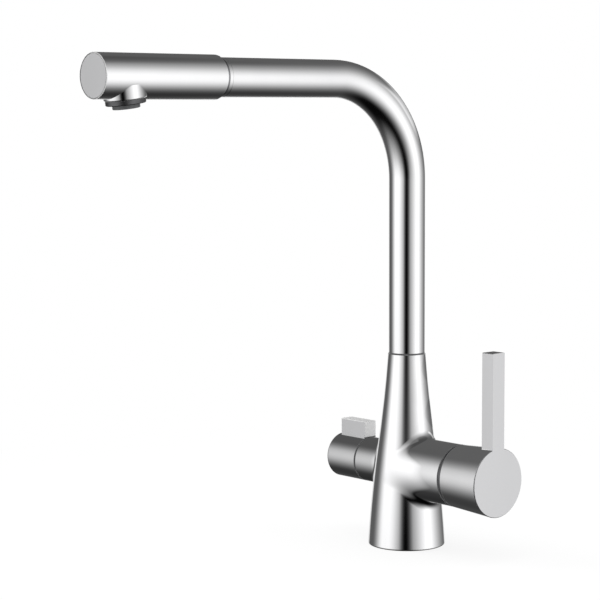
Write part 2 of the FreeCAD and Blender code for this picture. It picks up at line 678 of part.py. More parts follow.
# Collar, aerator ring, insert and seal on the leaning nozzle axis.
def make_nozzle():
    thread_r = aerator_d / 2 - 1.8
    insert_r = insert_d / 2
    seal_z = nozzle_seat + 1.3
    flange_z = seal_z + 1.5
    low = nozzle_drop + aerator_l
    lip = low + insert_drop
    collar_r = nozzle_d / 2
    turned_part("nozzle_collar", [
        (thread_r + seat, -nozzle_drop), (collar_r - 0.8, -nozzle_drop, 0.8),
        (collar_r, -nozzle_drop + 0.8), (collar_r, -(nozzle_seat + seat)),
        (thread_r + seat, -(nozzle_seat + seat))], "nozzle")
    ring_r = aerator_d / 2
    turned_part("aerator_ring", [
        (insert_r + seat, -low), (ring_r - edge_break, -low), (ring_r, -low + edge_break),
        (ring_r, -(nozzle_drop + seat)), (thread_r, -(nozzle_drop + seat)),
        (thread_r, -(flange_z + 1)), (insert_r + seat, -(flange_z + 1))], "nozzle")
    insert = turned_part("aerator_insert", [
        (0, -lip), (insert_r - 0.5, -lip, 0.5), (insert_r, -lip + 0.5), (insert_r, -(flange_z + 1)),
        (thread_r - 0.3, -(flange_z + 1)), (thread_r - 0.3, -flange_z),
        (insert_r - 1.2, -flange_z), (insert_r - 1.2, -lip + 2.6), (0, -lip + 2.6)], "nozzle")
    for count, radius in ((14, insert_r * 0.7), (7, insert_r * 0.36)):
        jet = drill(insert, "top", [(radius, 0)], jet_d / 2, 4, -lip + 3, name="jet")
        pattern(insert, jet, "Z", count)
    ring("aerator_seal", -flange_z, -seal_z, thread_r - 0.2, insert_r - 0.5, "nozzle")


# Places of the three water ports on the cartridge's faces.
def port_spots():
    return [(port_across, port_up), (-port_across, port_up), (0, -port_pcd / 2)]


def make_cartridge():
    cart_r = cart_d / 2
    port_r = port_d / 2
    base = ring("cartridge_base", cart_x, fixed_x, cart_r)
    drill(base, "side", port_spots(), port_r, cart_base_t + 2, fixed_x + 1, name="ports")
    drill(base, "side", port_spots(), port_r + 1.7, 0.7, cart_x, back=True, name="seal_seats")
    seals = new_body("cartridge_seals", "lever")
    sketch = new_sketch(seals, "side", out=floor_x)
    for spot in port_spots():
        circle(sketch, spot[0], spot[1], port_r + 1.6)
        circle(sketch, spot[0], spot[1], port_r + 0.3)
    pad(seals, sketch, free + 0.7)
    fixed = ring("fixed_disc", fixed_x, fixed_x + disc_t, disc_d / 2)
    drill(fixed, "side", port_spots(), port_r, disc_t + 2, fixed_x + disc_t + 1, name="ports")
    # Moving disc with the chamber that joins the ports, and the plate the stem's ball drives
    moving = ring("moving_disc", moving_x, plate_x, moving_d / 2)
    drill(moving, "side", [(0, -port_pcd * 0.24)], port_pcd * 0.4, disc_t / 2, moving_x,
          back=True, name="chamber")
    plate_end = plate_x + plate_t
    ring("drive_plate", plate_x, plate_end, moving_d / 2 - 0.4, ball_d / 2 + 0.15)
    # Housing over the discs, the nut that holds it and the dome that covers both
    neck = carrier_d / 2 + slip
    wide = disc_d / 2 + 0.5
    nut_x = nut_seat()
    step_x = nut_x - 2.5
    top_x = nut_x + nut_l - 0.5
    ledge = neck + 1.5
    turned_part("cartridge_housing", [
        (fixed_x, wide), (step_x, wide), (step_x, neck), (top_x, neck), (top_x, ledge),
        (nut_x, ledge), (nut_x, cart_r), (fixed_x, cart_r)], "lever")
    nut_r = nut_d / 2
    nut_end = nut_x + nut_l
    nut = turned_part("cartridge_nut", [
        (nut_x, ledge + seat), (nut_end, ledge + seat), (nut_end, nut_r - edge_break),
        (nut_end - edge_break, nut_r), (nut_x, nut_r)], "lever")
    sketch = new_sketch(nut, "side", out=nut_end)
    outline(sketch, box_corners(ledge - 1, ledge + 3, -2, 2))
    pattern(nut, cut(nut, sketch, 3.5, "slot"), "X", 6)
    skirt_x = nut_end + 1
    skirt_in = nut_r - 1.5
    edge_r = boss_d / 2 - dome_step
    inner_r = dome_r - dome_t
    hole = dome_hole / 2
    turned_part("lever_dome", [
        (skirt_x, skirt_in), (pivot_x + leg(inner_r, skirt_in), skirt_in, -inner_r),
        (pivot_x + leg(inner_r, hole), hole), (pivot_x + leg(dome_r, hole), hole, dome_r),
        (pivot_x + leg(dome_r, edge_r), edge_r), (boss_x, edge_r), (boss_x, nut_r),
        (skirt_x, nut_r)], "lever")
    # Carrier that turns in the housing and holds the stem on its pin
    carrier_r = carrier_d / 2
    near = nut_x - flange_t
    carrier = turned_part("stem_carrier", [
        (near, 0), (pivot_x + block_l, 0), (pivot_x + block_l, carrier_r), (step_x - seat, carrier_r),
        (step_x - seat, wide - 0.4), (near, wide - 0.4)], "lever")
    slot = stem_w / 2 + seat
    sketch = new_sketch(carrier, "side", out=pivot_x)
    outline(sketch, box_corners(-slot, slot, -6.8, 6.8))
    cut(carrier, sketch, carrier_d * 1.5, "slot", both=True)
    drill(carrier, "front", [(pivot_x, 0)], pin_d / 2 + slip / 2, carrier_d * 1.5,
          both=True, name="pin_hole")
    pin = new_body("pivot_pin", "lever")
    sketch = new_sketch(pin, "front")
    circle(sketch, pivot_x, 0, pin_d / 2)
    pad(pin, sketch, carrier_d - 1.2, both=True)


def make_lever():
    # Stem: a ball that drives the discs, the pinned block and the square the lever sits on
    ball = ball_d / 2
    neck = ball * 0.66
    stem = turned_part("lever_stem", [
        (ball_x - ball, 0), (block_x + 1, 0), (block_x + 1, neck),
        (ball_x + leg(ball, neck), neck, ball)], "lever")
    half = stem_w / 2
    stem_end = lever_screw_x + 7
    sketch = new_sketch(stem, "side", out=block_x)
    outline(sketch, box_corners(-half, half, -half, half))
    pad(stem, sketch, stem_end - block_x, "square")
    drill(stem, "front", [(pivot_x, 0)], pin_d / 2 + slip, carrier_d, both=True, name="pin_hole")
    # Lever: a flared hub hollowed to a ball over the dome, and a flat bar flush with its face
    cavity = dome_r + free
    rim_r = rim_d / 2
    rim_in = rim_r - rim_land
    rim_x = pivot_x + leg(cavity, rim_in)
    lever_r = lever_d / 2
    lever = turned_part("mixing_lever", [
        (pivot_x + cavity, 0), (disc_x, 0), (disc_x, lever_r - edge_break),
        (disc_x - edge_break, lever_r), (rim_x, rim_r), (rim_x, rim_in, -cavity)], "lever")
    sketch = new_sketch(lever, "side", out=disc_x - bar_t)
    outline(sketch, bar_outline(bar_w / 2, 0, bar_z, bar_edge))
    pad(lever, sketch, bar_t, "bar")
    socket = half + slip
    sketch = new_sketch(lever, "side", out=pivot_x + cavity - 5)
    outline(sketch, box_corners(-socket, socket, -socket, socket))
    cut(lever, sketch, stem_end + 0.2 - (pivot_x + cavity - 5), "stem_socket", back=True)
    plug_floor = lever_r - 3.4
    drill(lever, "top", [(lever_screw_x, 0)], lever_screw_d / 2, lever_d, name="screw_hole")
    drill(lever, "top", [(lever_screw_x, 0)], plug_d / 2, 10, -plug_floor, name="plug_seat")
    set_screw("lever_grub_screw", "lever", "top", lever_screw_x, 0, half, half + 8,
              lever_screw_d)
    plug = new_body("lever_plug", "lever")
    sketch = new_sketch(plug, "top", out=-plug_floor)
    circle(sketch, lever_screw_x, 0, plug_d / 2 - slip)
    pad(plug, sketch, 2.3).Reversed = True


def make_filter_side():
    seat_x = hex_seat()
    valve_r = valve_d / 2 - seat
    chamber = small_disc_d / 2 + 0.2
    spindle_r = spindle_d / 2
    bore = spindle_r + slip
    neck_x = knob_boss_x + 4.7
    near = valve_x + free
    chamber_x = valve_x + 8
    headwork = turned_part("filter_headwork", [
        (near, chamber), (chamber_x, chamber), (chamber_x, bore), (neck_x, bore), (neck_x, 7.4),
        (seat_x, 7.4), (seat_x, valve_r), (near, valve_r)], "knob")
    sketch = new_sketch(headwork, "side", out=seat_x)
    hexagon(sketch, hex_d * 0.57735)
    circle(sketch, 0, 0, spindle_r + 2)
    pad(headwork, sketch, 5, "hexagon")
    # Seal, the two discs and the spindle behind them
    fixed = valve_x + 1.4
    moving = fixed + small_disc_t + slip
    flange = moving + small_disc_t
    disc_r = small_disc_d / 2
    ring("filter_seal", valve_x, fixed, disc_r - 0.1, disc_r - 2, "knob")
    for name, station in (("filter_fixed_disc", fixed), ("filter_moving_disc", moving)):
        disc = ring(name, station, station + small_disc_t, disc_r, 0, "knob")
        drill(disc, "side", [(0, disc_r / 2), (0, -disc_r / 2)], disc_r * 0.3, small_disc_t * 3,
              station + small_disc_t * 2, name="ports")
    square_x = neck_x + 0.5
    spindle_end = square_x + 10.5
    spindle = turned_part("filter_spindle", [
        (flange, 0), (square_x, 0), (square_x, spindle_r), (chamber_x - seat, spindle_r),
        (chamber_x - seat, disc_r - 0.2), (flange, disc_r - 0.2)], "knob")
    half = spindle_d * 0.35
    sketch = new_sketch(spindle, "side", out=square_x)
    outline(sketch, box_corners(-half, half, -half, half))
    pad(spindle, sketch, spindle_end - square_x, "square")
    seal_x = chamber_x + 8
    wire = 0.5
    groove_into(spindle, "front", "along", box_corners(
        seal_x - wire - slip, seal_x + wire + slip, spindle_r - wire * 2, spindle_r + 1),
        name="groove")
    seal_ring("spindle_seal", spindle_r - wire, seal_x, wire, "knob")
    # Knob with its tab, and the set screw that holds it
    knob_r = knob_boss_d / 2
    hollow = hex_d * 0.57735 + 1
    hollow_x = neck_x + 3
    knob = turned_part("filter_knob", [
        (hollow_x, 0), (knob_end, 0), (knob_end, knob_r - knob_edge, knob_edge),
        (knob_end - knob_edge, knob_r), (knob_start + edge_break, knob_r),
        (knob_start, knob_r - edge_break), (knob_start, hollow), (hollow_x, hollow)], "knob")
    sketch = new_sketch(knob, "side", out=knob_start)
    outline(sketch, bar_outline(tab_w / 2, knob_r - 2.2, tab_z, bar_edge))
    pad(knob, sketch, tab_l, "tab")
    socket = half + slip
    sketch = new_sketch(knob, "side", out=hollow_x - 1)
    outline(sketch, box_corners(-socket, socket, -socket, socket))
    cut(knob, sketch, spindle_end + 0.2 - (hollow_x - 1), "spindle_socket", back=True)
    screw_x = hollow_x + 4
    drill(knob, "top", [(screw_x, 0)], screw_d / 2, knob_boss_d, name="screw_hole")
    set_screw("knob_grub_screw", "knob", "top", screw_x, 0, half, half + 10, screw_d)


make_body()
make_foot_and_swivel()
make_spout()
make_head()
make_nozzle()
make_cartridge()
make_lever()
make_filter_side()
doc.recompute()

failed = [obj.Name for obj in doc.Objects if "Invalid" in obj.State or "Error" in obj.State]
for name, body in parts.items():
    shape = body.Shape
    if shape.isNull() or not shape.isValid() or not shape.Solids:
        failed.append(name)
if failed:
    raise SystemExit(f"not built: {failed}")
os.makedirs("parts", exist_ok=True)
for name, body in parts.items():
    body.Shape.exportStep(f"parts/{name}.step")
    print(name, len(body.Shape.Solids), round(body.Shape.Volume, 1))
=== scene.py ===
from math import cos, pi, radians, sin

import bpy
from mathutils import Matrix, Vector


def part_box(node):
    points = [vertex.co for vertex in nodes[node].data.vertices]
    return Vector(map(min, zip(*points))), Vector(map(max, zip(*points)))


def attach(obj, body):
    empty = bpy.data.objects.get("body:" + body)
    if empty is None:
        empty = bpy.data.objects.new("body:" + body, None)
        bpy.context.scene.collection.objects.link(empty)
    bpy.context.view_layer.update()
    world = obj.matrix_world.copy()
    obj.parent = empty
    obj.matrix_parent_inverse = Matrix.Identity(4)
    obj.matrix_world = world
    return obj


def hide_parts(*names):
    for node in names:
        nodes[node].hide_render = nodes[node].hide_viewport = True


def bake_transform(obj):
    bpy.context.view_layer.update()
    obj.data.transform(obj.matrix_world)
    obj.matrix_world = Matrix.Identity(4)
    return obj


# Kitchen mixer tap with a pull-out head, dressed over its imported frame

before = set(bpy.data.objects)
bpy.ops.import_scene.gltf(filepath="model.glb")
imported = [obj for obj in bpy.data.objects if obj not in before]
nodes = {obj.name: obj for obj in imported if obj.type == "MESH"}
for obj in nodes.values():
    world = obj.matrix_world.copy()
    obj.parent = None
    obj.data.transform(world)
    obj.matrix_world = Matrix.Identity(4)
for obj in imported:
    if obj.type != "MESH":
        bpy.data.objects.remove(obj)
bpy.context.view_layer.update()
print("frame loaded:", len(nodes), "nodes")


# Shader maths: a socket that can be added, scaled and compared like a number
class Flow:
    def __init__(self, tree, socket):
        self.tree = tree
        self.socket = socket

    def node(self, kind, links, output=0, **settings):
        made = self.tree.nodes.new(kind)
        for name, value in settings.items():
            setattr(made, name, value)
        for place, value in links.items():
            if isinstance(value, Flow):
                self.tree.links.new(value.socket, made.inputs[place])
            else:
                made.inputs[place].default_value = value
        return Flow(self.tree, made.outputs[output])

    def maths(self, operation, first, second=0.0):
        return self.node("ShaderNodeMath", {0: first, 1: second}, operation=operation)

    def vector(self, operation, other=(0, 0, 0), output=0):
        return self.node("ShaderNodeVectorMath", {0: self, 1: other}, output, operation=operation)

    def __add__(self, other):
        return self.maths("ADD", self, other)

    def __radd__(self, other):
        return self.maths("ADD", other, self)

    def __sub__(self, other):
        return self.maths("SUBTRACT", self, other)

    def __rsub__(self, other):
        return self.maths("SUBTRACT", other, self)

    def __mul__(self, other):
        return self.maths("MULTIPLY", self, other)

    def __rmul__(self, other):
        return self.maths("MULTIPLY", other, self)

    def __truediv__(self, other):
        return self.maths("DIVIDE", self, other)

    def __rtruediv__(self, other):
        return self.maths("DIVIDE", other, self)

    def __pow__(self, other):
        return self.maths("POWER", self, other)

    def __gt__(self, other):
        return self.maths("GREATER_THAN", self, other)

    def __lt__(self, other):
        return self.maths("LESS_THAN", self, other)

    def apply(self, operation, other=0.0):
        return self.maths(operation, self, other)

    def part(self, axis):
        return self.node("ShaderNodeSeparateXYZ", {0: self}, output="XYZ".index(axis))

    def step(self, low, high):
        return self.node("ShaderNodeMapRange", {0: self, 1: low, 2: high},
                         interpolation_type="SMOOTHSTEP")

    def noise(self, scale, detail=3.0, roughness=0.55, stretch=(1, 1, 1)):
        place = self.vector("MULTIPLY", stretch)
        return self.node("ShaderNodeTexNoise", {"Vector": place, "Scale": scale, "Detail": detail,
                                                "Roughness": roughness})

    def spots(self, scale):
        return self.node("ShaderNodeTexVoronoi", {"Vector": self, "Scale": scale})

    # A Mix node has its colours on sockets 6 and 7 and its vectors on 4 and 5
    def blendColours(self, first, second):
        return self.colourOver((*first, 1), second)

    def colourOver(self, under, colour):
        return self.node("ShaderNodeMix", {0: self, 6: under, 7: (*colour, 1)}, output=2,
                         data_type="RGBA")

    def blendVectors(self, first, second):
        return self.node("ShaderNodeMix", {0: self, 4: first, 5: second}, output=1,
                         data_type="VECTOR")


def newMaterial(name):
    made = bpy.data.materials.new(name)
    made.use_nodes = True
    tree = made.node_tree
    place = tree.nodes.new("ShaderNodeTexCoord")
    return made, tree.nodes["Principled BSDF"], Flow(tree, place.outputs["Object"])


# What varies is linked to the shader, and what is the same all over is set on its socket
def joinTo(shader, **values):
    names = {"colour": "Base Color", "rough": "Roughness", "metal": "Metallic", "bump": "Normal",
             "glow": "Emission Color", "index": "IOR"}
    for name, value in values.items():
        socket = shader.inputs[names[name]]
        if isinstance(value, Flow):
            value.tree.links.new(value.socket, socket)
        else:
            socket.default_value = value


# Small relief, over the mesh's own normal or over one that is worked out
def relief(height, strength, distance, normal=None):
    links = {"Height": height, "Strength": strength, "Distance": distance}
    if normal:
        links["Normal"] = normal
    return height.node("ShaderNodeBump", links)


def length(first, second):
    return (first * first + second * second).apply("SQRT")


# Distance from a line along one axis through a point, for lathe marks and bores
def radiusFrom(place, axis, centre=(0, 0, 0)):
    return length(*(place.part(name) - value for name, value in zip("XYZ", centre)
                    if name != axis))


def assign(material, *names):
    for name in names:
        holder = nodes[name]
        holder.data.materials.clear()
        holder.data.materials.append(material)


def clearSelection():
    if bpy.context.object and bpy.context.object.mode != "OBJECT":
        bpy.ops.object.mode_set(mode="OBJECT")
    bpy.ops.object.select_all(action="DESELECT")


# Camera where the photographer stood
view = {"place": (0.93436, -0.91961, 0.29914), "heading": 48.69, "pitch": 5.58, "roll": -0.22,
        "lens": 114.0, "sensor": 36, "near": 0.05}


def setCamera():
    data = bpy.data.cameras.new("photoCamera")
    data.lens = view["lens"]
    data.sensor_fit = "HORIZONTAL"
    data.sensor_width = view["sensor"]
    data.clip_start = view["near"]
    heading, pitch, roll = (radians(view[name]) for name in ("heading", "pitch", "roll"))
    look = Vector((-sin(heading) * cos(pitch), cos(heading) * cos(pitch), -sin(pitch)))
    right = Vector((cos(heading), sin(heading), 0))
    up = right.cross(look)
    side = right * cos(roll) + up * sin(roll)
    top = up * cos(roll) - right * sin(roll)
    camera = bpy.data.objects.new("photoCamera", data)
    bpy.context.collection.objects.link(camera)
    turn = Matrix((side, top, -look)).transposed().to_4x4()
    camera.matrix_world = Matrix.Translation(view["place"]) @ turn
    bpy.context.scene.camera = camera


# Studio: paper floor, a painted dome that only the chrome sees, soft lamps
studio = {"floorSize": 12.0, "paper": 0.86, "paperRough": 0.9, "ownGlow": 0.84,
          "fadeStart": 0.16, "fadeEnd": 0.5, "ambient": 0.75}
# Angles in degrees, counted from the camera's side, anticlockwise seen from above. Each pair is
# where a soft edge starts and ends, and the levels are as the eye sees them, 0 to 1
dome = {"radius": 20.0, "start": 42.0, "gamma": 2.2, "metal": 0.86, "base": 0.4,
        "contrast": 1.22, "middle": 0.62, "lowest": 0.06,
        "right": (-2.4, 83.9, 24.3, 163.5), "rightLevel": 0.825, "rightUpwards": (-0.3, 88.3),
        "left": (-127.0, -78.0, -61.6, -5.1), "leftLevel": 0.358, "leftUpwards": (15.0, 73.1),
        "leftGain": 0.561, "leftGainRise": (-41.8, 5.4),
        "front": (20.0, 60.0), "frontShift": 4.0, "frontLevel": 0.135, "frontRise": (-25.7, 4.4),
        "back": (146.0, 160.0), "backLevel": 0.42, "backRise": (-28.0, -12.0, -2.0, 5.0),
        "side": (100.0, 118.0, 156.0, 170.0), "sideLevel": 0.26,
        "sideRise": (5.0, 11.0, 17.0, 25.0),
        "roof": 0.127, "roofRise": (45.8, 55.8),
        "ground": -0.756, "groundRise": (-153.8, -9.0),
        "card": 0.88, "cardSides": (-28.1, -1.4, -9.6, 20.4),
        "cardEnds": (-116.2, 19.0, -8.0, 24.0)}
# Place, size and power of each lamp, and the point at which all of them look
lamps = {"keyLamp": ((-1.2, -1.0, 1.4), 1.2, 16), "fillLamp": ((1.4, 0.6, 1.2), 1.4, 12),
         "topLamp": ((0.2, -0.4, 1.9), 1.0, 9)}
lampAim = (0, -0.08, 0.16)


# 1 for rays that come from the camera, a mirror or glass
def seenRays(tree):
    rays = tree.nodes.new("ShaderNodeLightPath")
    camera, glossy, glass = (Flow(tree, rays.outputs[name]) for name in (
        "Is Camera Ray", "Is Glossy Ray", "Is Transmission Ray"))
    return camera.apply("MAXIMUM", glossy).apply("MAXIMUM", glass)


# The paper glows for the eye, which makes it white, and takes the shadow near the tap
def buildFloor():
    clearSelection()
    bpy.ops.mesh.primitive_plane_add(size=studio["floorSize"], location=(0, 0, 0))
    floor = bpy.context.object
    floor.name = "floor"
    floor.visible_glossy = False
    made, shader, place = newMaterial("floorPaper")
    joinTo(shader, colour=(*[studio["paper"]] * 3, 1), rough=studio["paperRough"])
    tree = place.tree
    glow = tree.nodes.new("ShaderNodeEmission")
    fade = radiusFrom(place, "Z").step(studio["fadeStart"], studio["fadeEnd"])
    amount = seenRays(tree) * (fade * (1 - studio["ownGlow"]) + studio["ownGlow"])
    mix = tree.nodes.new("ShaderNodeMixShader")
    tree.links.new(amount.socket, mix.inputs[0])
    tree.links.new(shader.outputs[0], mix.inputs[1])
    tree.links.new(glow.outputs[0], mix.inputs[2])
    tree.links.new(mix.outputs[0], tree.nodes["Material Output"].inputs["Surface"])
    floor.data.materials.append(made)


def window(flow, edges):
    return flow.step(*edges[:2]) * (1.0 - flow.step(*edges[2:]))


# Brightness of the dome by direction and height: a bright right, a darker left, a front, a back,
# a dark card that gives the stripe down the column, a dim roof and ground
def domeLevel(turn, height):
    right = window(turn, dome["right"]) * (1.0 - height.step(*dome["rightUpwards"]))
    left = window(turn, dome["left"]) * (1.0 - height.step(*dome["leftUpwards"]))
    left = left * (height.step(*dome["leftGainRise"]) * dome["leftGain"] + 1.0)
    front = 1.0 - (turn + dome["frontShift"]).apply("ABSOLUTE").step(*dome["front"])
    front = front * height.step(*dome["frontRise"])
    apart = turn.apply("ABSOLUTE")
    back = apart.step(*dome["back"]) * window(height, dome["backRise"]) * dome["backLevel"]
    side = window(apart, dome["side"]) * window(height, dome["sideRise"]) * dome["sideLevel"]
    level = (right * dome["rightLevel"] + left * dome["leftLevel"] + (back + side)
             + front * dome["frontLevel"] + dome["base"])
    level = level * (1.0 - height.step(*dome["roofRise"]) * dome["roof"])
    level = level * (height.step(*dome["groundRise"]) * (1 - dome["ground"]) + dome["ground"])
    card = window(turn, dome["cardSides"]) * window(height, dome["cardEnds"])
    level = level * (1.0 - card * dome["card"])
    return level * dome["contrast"] + dome["middle"] * (1 - dome["contrast"])


def buildDome():
    clearSelection()
    bpy.ops.mesh.primitive_uv_sphere_add(segments=96, ring_count=48, radius=dome["radius"])
    shell = bpy.context.object
    shell.name = "reflectionDome"
    shell.visible_camera = False
    shell.visible_diffuse = False
    shell.visible_shadow = False
    made, shader, place = newMaterial("domePaint")
    x, y, z = (place.part(axis) for axis in "XYZ")
    turn = y.apply("ARCTAN2", x) * (180 / pi) + (dome["start"] + 540)
    turn = turn.apply("MODULO", 360.0) - 180.0
    height = z.apply("ARCTAN2", length(x, y)) * (180 / pi)
    level = domeLevel(turn, height).apply("MAXIMUM", dome["lowest"])
    joinTo(shader, colour=(0, 0, 0, 1), glow=level ** dome["gamma"] * (1 / dome["metal"]))
    shader.inputs["Emission Strength"].default_value = 1.0
    shader.inputs["Specular IOR Level"].default_value = 0
    shell.data.materials.append(made)


def buildLight():
    for name, (place, size, power) in lamps.items():
        data = bpy.data.lights.new(name, "AREA")
        data.size = size
        data.energy = power
        lamp = bpy.data.objects.new(name, data)
        lamp.location = place
        aim = Vector(lampAim) - Vector(place)
        lamp.rotation_euler = aim.to_track_quat("-Z", "Y").to_euler()
        lamp.visible_glossy = False
        bpy.context.collection.objects.link(lamp)
    world = bpy.data.worlds.new("paleStudio")
    bpy.context.scene.world = world
    world.use_nodes = True
    tree = world.node_tree
    back = tree.nodes["Background"]
    back.inputs["Color"].default_value = (1, 1, 1, 1)
    strength = seenRays(tree) * (1 - studio["ambient"]) + studio["ambient"]
    tree.links.new(strength.socket, back.inputs["Strength"])
    bpy.context.scene.view_settings.view_transform = "Standard"


setCamera()
buildFloor()
buildDome()
buildLight()
print("studio set")

# Chrome and what lies on it: wiping smears and dust in the gloss, satin faces, splashes that dull
# it, bare brass where the casting is machined, and painted light: a painted highlight on pale
# faces, painted shade in seams, on undersides, by the collar's gap, on the left boss and on the
# knob, and a lever painted lighter
chrome = {"colour": (0.86, 0.86, 0.865), "worn": (0.835, 0.835, 0.845), "gloss": 0.075,
          "smear": 0.035, "smearSize": 45, "dust": 0.07, "dustSize": 420, "dustReach": 0.045,
          "ripple": 0.05, "rippleSize": 60, "rippleDepth": 0.00004, "ringSize": 2600,
          "satin": (0.72, 0.72, 0.73), "satinGloss": 0.2, "grain": 0.08, "grainSize": 1800,
          # Painted shade in a ring by the collar's gap to the head, and the end cap's satin tone
          "gapShade": (0.3, 0.3, 0.31), "cap": (0.83, 0.83, 0.84),
          # Painted highlight: a pale tone with less metal on the head's rim and the knob's tab
          "edge": (0.8, 0.8, 0.8), "edgeGloss": 0.3, "edgePale": 0.7, "dull": 0.11,
          # Painted shade, in the joins between parts and under the hub and the bosses
          "seamShade": (0.1, 0.1, 0.102), "seamGloss": 0.4, "shade": (0.22, 0.22, 0.225),
          # Painted shade on the left boss and on the whole knob, painted light on the whole lever
          "leftBossShade": (0.66, 0.66, 0.665), "knobShadeGain": 0.8, "leverLightGain": 1.1,
          "brass": (0.69, 0.5, 0.24), "brassGloss": 0.3, "ringGloss": 0.2, "ringRipple": 3.0}

# Where these finishes, the painted shades and the painted highlights begin and end on their
# pieces. A pair is a soft edge: of a distance, or of how far the normal points down
areas = {"tabFoot": 0.0708, "tabTop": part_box("filter_knob")[1][2],
         "knobRear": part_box("filter_knob")[1][0], "barFoot": 0.0775, "leverFace": 0.0859,
         "leverRear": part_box("mixing_lever")[0][0], "headFront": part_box("head_shell")[0][1],
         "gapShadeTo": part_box("dock_collar")[0][1] + 0.0016, "thin": 0.0004, "seamShade": 0.0007,
         "square": 0.9, "bendInside": (0.0565, 0.063), "bendFrom": 0.02,
         # How far down a face must point to take painted shade, on the lever's hub and on the
         # bosses
         "hubUnder": (0.72, 0.92), "bossUnder": (0.55, 0.85),
         # Reach of the painted shade on the left boss, along it and round it
         "leftBossShade": (0.0165, 0.0205), "leftRound": (0.0165, 0.0195),
         "socket": 0.0169, "socketTop": 0.0262, "underside": 0.0002}

# Long plain surfaces get their normal from the drawn shape, a tube or the casting's outline, so
# that reflections run smooth over the mesh's facets
sweeps = {"fadeFrom": 0.00004, "fadeTo": 0.00012, "facet": 0.0012, "bend": 0.068,
          "level": 0.3225, "spout": 0.0125, "head": 0.0141}
knee = sweeps["level"] - sweeps["bend"]  # height at which the spout starts to bend

# The casting: arcs of neck and foot as centre, radius and side, both bosses as radius, blend and
# end. Beside the mixing boss, almost as wide as the body, the blend is taken softer
casting = {"neck": ((0.99018, 0.20808), 0.98, -1), "foot": ((-0.8615, -0.0532), 0.89, 1),
           "waist": 0.069, "ends": (0.0013, 0.1337), "bossHeight": 0.0548,
           "right": (0.0213, 0.007, 0.0503), "left": (0.0157, 0.004, 0.0358),
           "tip": (0.006, 0.016), "tipBlend": 0.033}


def meshNormal(place):
    return place.node("ShaderNodeNewGeometry", {}, output=1)


def turnAxes(normal, start, end):
    return normal.node("ShaderNodeVectorTransform", {0: normal}, vector_type="NORMAL",
                       convert_from=start, convert_to=end)


def ownNormal(place):
    return turnAxes(meshNormal(place), "WORLD", "OBJECT")


def direction(x, y, z):
    return y.node("ShaderNodeCombineXYZ", {0: x, 1: y, 2: z}).vector("NORMALIZE")


# How far a point lies behind and above the centre of the spout's bend
def fromBend(place):
    return ((place.part("Y") + sweeps["bend"]).apply("MAXIMUM", 0.0),
            (place.part("Z") - knee).apply("MAXIMUM", 0.0))


# A tube that stands on the tap's axis, bends forwards and runs on level
def tubeNormal(place, radius):
    x = place.part("X")
    out, up = fromBend(place)
    pull = 1.0 - sweeps["bend"] / length(out, up)
    out, up = out * pull, up * pull
    gap = (x * x + out * out + up * up).apply("SQRT") - radius
    mask = (1.0 - gap.step(sweeps["fadeFrom"], sweeps["fadeTo"])) * (gap > -sweeps["facet"])
    drawn = turnAxes(direction(x, out, up), "OBJECT", "WORLD")
    return mask.blendVectors(meshNormal(place), drawn)


# Normal of the casting from its two nearest shapes. Where a ball rolls between them, it follows
# from how far the point lies outside each. The casting never moves, so its axes are the world's
def castingNormal(place):
    x, y, z = (place.part(axis) for axis in "XYZ")
    middle = radiusFrom(place, "Z")
    shapes, gaps = [], []
    for (centre, height), bow, side in (casting["foot"], casting["neck"]):
        out = (middle - centre) * side
        up = (z - height) * side
        gaps.append((length(out, up) - bow) * side)
        shapes.append(direction(x * out, y * out, up * middle))
    upper = z > casting["waist"]
    swept = upper.blendVectors(*shapes)
    sweptGap = gaps[1] * upper + gaps[0] * (1.0 - upper)
    rise = z - casting["bossHeight"]
    boss = direction(0.0, y, rise)
    right = x > 0.0
    radius, blend, end = (right * (a - b) + b for a, b in zip(casting["right"], casting["left"]))
    bossGap = radiusFrom(place, "X", (0, 0, casting["bossHeight"])) - radius
    tip = (1.0 - rise.apply("ABSOLUTE").step(*casting["tip"])) * right
    blend = blend + tip * casting["tipBlend"]
    touch = [(1.0 - gap / blend).apply("MAXIMUM", 0.0) for gap in (sweptGap, bossGap)]
    along = swept.vector("DOT_PRODUCT", boss, output=1).apply("MAXIMUM", 0.0)
    shares = [(touch[i] - along * touch[1 - i]).apply("MAXIMUM", 0.0) for i in (0, 1)]
    total = swept.vector("MULTIPLY", shares[0]).vector("ADD", boss.vector("MULTIPLY", shares[1]))
    mask = sweptGap.apply("MINIMUM", bossGap) > -sweeps["facet"]
    mask = mask * (z > casting["ends"][0]) * (z < casting["ends"][1])
    mask = mask * (x.apply("ABSOLUTE") < end)
    return mask.blendVectors(meshNormal(place), total.vector("NORMALIZE"))


# Masks, each 1 where its finish lies; several of them mark painted shade, and two a painted
# highlight
# Painted shade on faces that point down
def facingDown(normal, levels):
    return (0.0 - normal.part("Z")).step(*levels)


def bendInside(place):
    out, up = fromBend(place)
    near = 1.0 - length(out, up).step(*areas["bendInside"])
    return near * up.step(0.0, areas["bendFrom"])


# Painted shade: a dark ring at the collar's front edge stands for the shadow in the gap to the
# head
def collarGapShade(place):
    return place.part("Y") < areas["gapShadeTo"]


# Painted highlight: the head shell's front rim is painted pale
def headRimHighlight(place):
    return place.part("Y") < areas["headFront"] + areas["thin"]


def capFace(place):
    return place.part("Y") < 0.0


# Painted shade in the join where the knob meets its boss
def knobSeamShade(place):
    rear = place.part("X") > areas["knobRear"] - areas["seamShade"]
    return rear * (place.part("Z") < areas["tabFoot"])


def tabFront(place):
    return (place.part("Z") > areas["tabFoot"]) * (ownNormal(place).part("Y") < -areas["square"])


# Painted highlight on the tab's top, and on its end that faces the body
def tabPaleHighlight(place):
    end = (place.part("Z") > areas["tabFoot"]) * (ownNormal(place).part("X") > areas["square"])
    return (place.part("Z") > areas["tabTop"] - areas["thin"]).apply("MAXIMUM", end)


